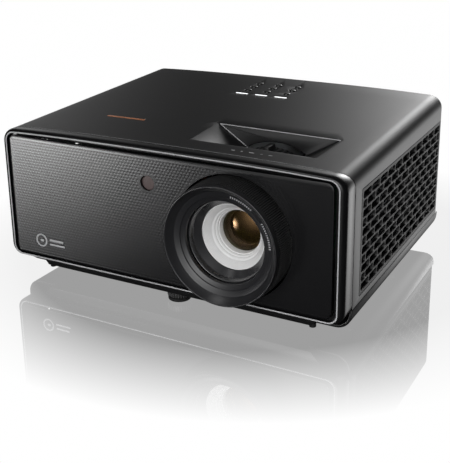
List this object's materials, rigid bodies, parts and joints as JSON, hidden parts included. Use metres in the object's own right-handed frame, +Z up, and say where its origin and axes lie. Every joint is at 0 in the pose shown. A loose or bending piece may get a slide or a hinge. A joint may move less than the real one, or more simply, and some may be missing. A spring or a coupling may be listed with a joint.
{
  "type": "home projector",
  "caption": "Black home projector with a ribbed focus ring around a recessed lens, zoom wheel in a finger well, slotted sides, top keypad and levelling feet.",
  "frame": {"origin": "On the table, under the middle of the bounding box with the feet wound in.", "axes": "+Z up; the lens looks along -Y; +X is on the right of a person facing the lens."},
  "size_m": [0.337, 0.296, 0.1565],
  "materials": {
    "case_black": "fine satin moulded plastic",
    "grille_black": "satin moulded plastic",
    "frame_black": "semi-gloss moulded plastic",
    "panel_charcoal": "dimpled satin plastic",
    "rear_black": "fine spark texture",
    "ir_filter": "smoky infrared filter",
    "badge_copper": "copper-coloured inlay",
    "soft_rubber": "matt rubber",
    "brass_insert": "knurled brass",
    "screw_steel": "zinc plated",
    "hood_grey": "turned satin anodised look",
    "ring_black": "ribbed black",
    "barrel_silver": "bright turned metal",
    "barrel_dark": "black anodised",
    "coated_glass": "anti-reflection coated",
    "plain_glass": "polished",
    "cast_metal": "die cast",
    "motor_steel": "turned",
    "phosphor_yellow": "phosphor coated disc",
    "laser_metal": "gold plated",
    "fin_metal": "milled",
    "pipe_copper": "bare copper",
    "board_green": "solder mask",
    "fan_black": "moulded",
    "fan_blade": "moulded",
    "port_metal": "nickel plated",
    "inlet_black": "moulded",
    "key_black": "polished moulded caps",
    "light_white": "frosted light guide",
    "foot_black": "fluted plastic"
  },
  "bodies": {
    "chassis": {"bottom_case": "case_black", "top_cover": "case_black", "side_grille_right": "grille_black", "side_grille_left": "grille_black", "front_bezel": "frame_black", "front_panel": "panel_charcoal", "ir_window": "ir_filter", "rear_panel": "rear_black", "badge_inlay": "badge_copper", "corner_stops": "soft_rubber", "ceiling_inserts": "brass_insert", "case_screws": "screw_steel", "foot_inserts": "brass_insert", "lens_tube": "barrel_dark", "rear_lens": "plain_glass", "engine_housing": "cast_metal", "wheel_motor": "motor_steel", "laser_bank": "laser_metal", "laser_heatsink": "fin_metal", "heat_pipes": "pipe_copper", "dmd_board": "board_green", "dmd_heatsink": "fin_metal", "fan_frame_front": "fan_black", "fan_frame_rear": "fan_black", "main_board": "board_green", "power_board": "board_green", "speaker": "fan_black", "port_plate": "port_metal", "port_sockets": "port_metal", "power_inlet": "inlet_black", "keypad_board": "board_green", "light_guides": "light_white"},
    "focus_grip": {"hood_rim": "hood_grey", "focus_ring": "ring_black"},
    "front_group": {"focus_barrel": "barrel_silver", "front_lens": "coated_glass", "lens_retainer": "ring_black"},
    "zoom_grip": {"zoom_ring": "ring_black"},
    "zoom_group": {"zoom_barrel": "barrel_dark", "zoom_lens": "plain_glass"},
    "colour_wheel": {"phosphor_wheel": "phosphor_yellow"},
    "rotor_front": {"fan_rotor_front": "fan_blade"},
    "rotor_rear": {"fan_rotor_rear": "fan_blade"},
    "cap_power": {"key_power": "key_black"},
    "cap_menu": {"key_menu": "key_black"},
    "cap_source": {"key_source": "key_black"},
    "cap_left": {"key_left": "key_black"},
    "cap_enter": {"key_enter": "key_black"},
    "cap_right": {"key_right": "key_black"},
    "cap_up": {"key_up": "key_black"},
    "cap_down": {"key_down": "key_black"},
    "cap_info": {"key_info": "key_black"},
    "sole_front": {"foot_sole_front": "soft_rubber"},
    "screw_front": {"foot_screw_front": "foot_black"},
    "sole_left": {"foot_sole_left": "soft_rubber"},
    "screw_left": {"foot_screw_left": "foot_black"},
    "sole_right": {"foot_sole_right": "soft_rubber"},
    "screw_right": {"foot_screw_right": "foot_black"}
  },
  "joints": [
    {"name": "focus_turn", "type": "hinge", "parent": "chassis", "child": "focus_grip", "pos_m": [0.071, -0.124, 0.0833], "axis": [0, -1, 0], "range_deg": [-60, 60]},
    {"name": "focus_travel", "type": "slide", "parent": "chassis", "child": "front_group", "axis": [0, -1, 0], "range_m": [-0.0016, 0.0016]},
    {"name": "zoom_turn", "type": "hinge", "parent": "chassis", "child": "zoom_grip", "pos_m": [0.071, -0.064, 0.0833], "axis": [0, -1, 0], "range_deg": [-22, 22]},
    {"name": "zoom_travel", "type": "slide", "parent": "chassis", "child": "zoom_group", "axis": [0, -1, 0], "range_m": [-0.005, 0.005]},
    {"name": "colour_wheel_spin", "type": "hinge", "parent": "chassis", "child": "colour_wheel", "pos_m": [0.002, 0.008, 0.08], "axis": [1, 0, 0], "continuous": true},
    {"name": "fan_front_spin", "type": "hinge", "parent": "chassis", "child": "rotor_front", "pos_m": [-0.15, -0.042, 0.082], "axis": [1, 0, 0], "continuous": true},
    {"name": "fan_rear_spin", "type": "hinge", "parent": "chassis", "child": "rotor_rear", "pos_m": [-0.15, 0.042, 0.082], "axis": [1, 0, 0], "continuous": true},
    {"name": "press_power", "type": "slide", "parent": "chassis", "child": "cap_power", "axis": [0, 0, -1], "range_m": [0, 0.0007], "stiffness_N_per_m": 400},
    {"name": "press_menu", "type": "slide", "parent": "chassis", "child": "cap_menu", "axis": [0, 0, -1], "range_m": [0, 0.0007], "stiffness_N_per_m": 400},
    {"name": "press_source", "type": "slide", "parent": "chassis", "child": "cap_source", "axis": [0, 0, -1], "range_m": [0, 0.0007], "stiffness_N_per_m": 400},
    {"name": "press_left", "type": "slide", "parent": "chassis", "child": "cap_left", "axis": [0, 0, -1], "range_m": [0, 0.0007], "stiffness_N_per_m": 400},
    {"name": "press_enter", "type": "slide", "parent": "chassis", "child": "cap_enter", "axis": [0, 0, -1], "range_m": [0, 0.0007], "stiffness_N_per_m": 400},
    {"name": "press_right", "type": "slide", "parent": "chassis", "child": "cap_right", "axis": [0, 0, -1], "range_m": [0, 0.0007], "stiffness_N_per_m": 400},
    {"name": "press_up", "type": "slide", "parent": "chassis", "child": "cap_up", "axis": [0, 0, -1], "range_m": [0, 0.0007], "stiffness_N_per_m": 400},
    {"name": "press_down", "type": "slide", "parent": "chassis", "child": "cap_down", "axis": [0, 0, -1], "range_m": [0, 0.0007], "stiffness_N_per_m": 400},
    {"name": "press_info", "type": "slide", "parent": "chassis", "child": "cap_info", "axis": [0, 0, -1], "range_m": [0, 0.0007], "stiffness_N_per_m": 400},
    {"name": "foot_front_extend", "type": "slide", "parent": "chassis", "child": "sole_front", "axis": [0, 0, -1], "range_m": [0, 0.01]},
    {"name": "foot_front_turn", "type": "hinge", "parent": "sole_front", "child": "screw_front", "pos_m": [0, -0.093, 0.005], "axis": [0, 0, -1], "range_deg": [0, 2400.2]},
    {"name": "foot_left_extend", "type": "slide", "parent": "chassis", "child": "sole_left", "axis": [0, 0, -1], "range_m": [0, 0.01]},
    {"name": "foot_left_turn", "type": "hinge", "parent": "sole_left", "child": "screw_left", "pos_m": [-0.135, 0.112, 0.005], "axis": [0, 0, -1], "range_deg": [0, 2400.2]},
    {"name": "foot_right_extend", "type": "slide", "parent": "chassis", "child": "sole_right", "axis": [0, 0, -1], "range_m": [0, 0.01]},
    {"name": "foot_right_turn", "type": "hinge", "parent": "sole_right", "child": "screw_right", "pos_m": [0.135, 0.112, 0.005], "axis": [0, 0, -1], "range_deg": [0, 2400.2]}
  ],
  "couplings": [
    {"joint": "focus_travel", "follows": "focus_turn", "m_per_rad": 0.0015},
    {"joint": "zoom_travel", "follows": "zoom_turn", "m_per_rad": 0.0128},
    {"joint": "foot_front_turn", "follows": "foot_front_extend", "rad_per_m": 4188.8},
    {"joint": "foot_left_turn", "follows": "foot_left_extend", "rad_per_m": 4188.8},
    {"joint": "foot_right_turn", "follows": "foot_right_extend", "rad_per_m": 4188.8}
  ]
}
